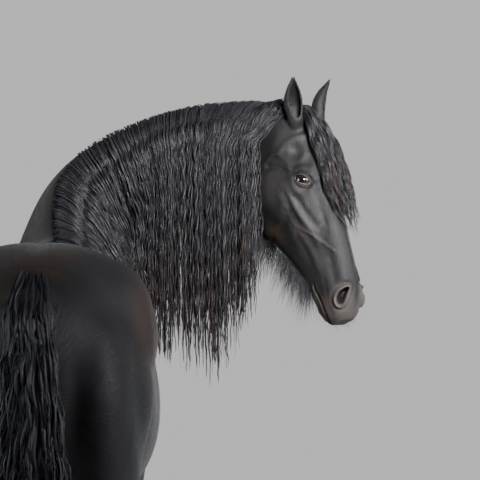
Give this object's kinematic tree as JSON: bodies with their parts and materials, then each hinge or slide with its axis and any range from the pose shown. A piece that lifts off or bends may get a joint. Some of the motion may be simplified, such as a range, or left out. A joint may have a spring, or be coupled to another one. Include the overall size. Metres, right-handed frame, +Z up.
{
  "type": "horse",
  "caption": "Life-size black Friesian stallion, standing with its head turned back over its right side, with long mane, forelock, tail and feathered legs.",
  "frame": {"origin": "centre of the footprint, on the floor the hooves stand on", "axes": "+Y the way the trunk points, +X the horse's right side, +Z up"},
  "size_m": [1.1764, 1.9976, 2.0717],
  "materials": {
    "coat": "short glossy black hair",
    "hair": "long wavy black hair",
    "hoof": "dark horn with growth rings",
    "eye": "wet, dark brown"
  },
  "bodies": {
    "root": {"trunk": "coat", "neck": "coat", "head": "coat", "foreleg_left": "coat", "foreleg_right": "coat", "hindleg_left": "coat", "hindleg_right": "coat", "ear_left": "coat", "ear_right": "coat", "mane": "hair", "forelock": "hair", "tail": "hair", "feather_front_left": "hair", "feather_front_right": "hair", "feather_hind_left": "hair", "feather_hind_right": "hair", "hoof_front_left": "hoof", "hoof_front_right": "hoof", "hoof_hind_left": "hoof", "hoof_hind_right": "hoof", "eye_left": "eye", "eye_right": "eye"}
  },
  "joints": []
}
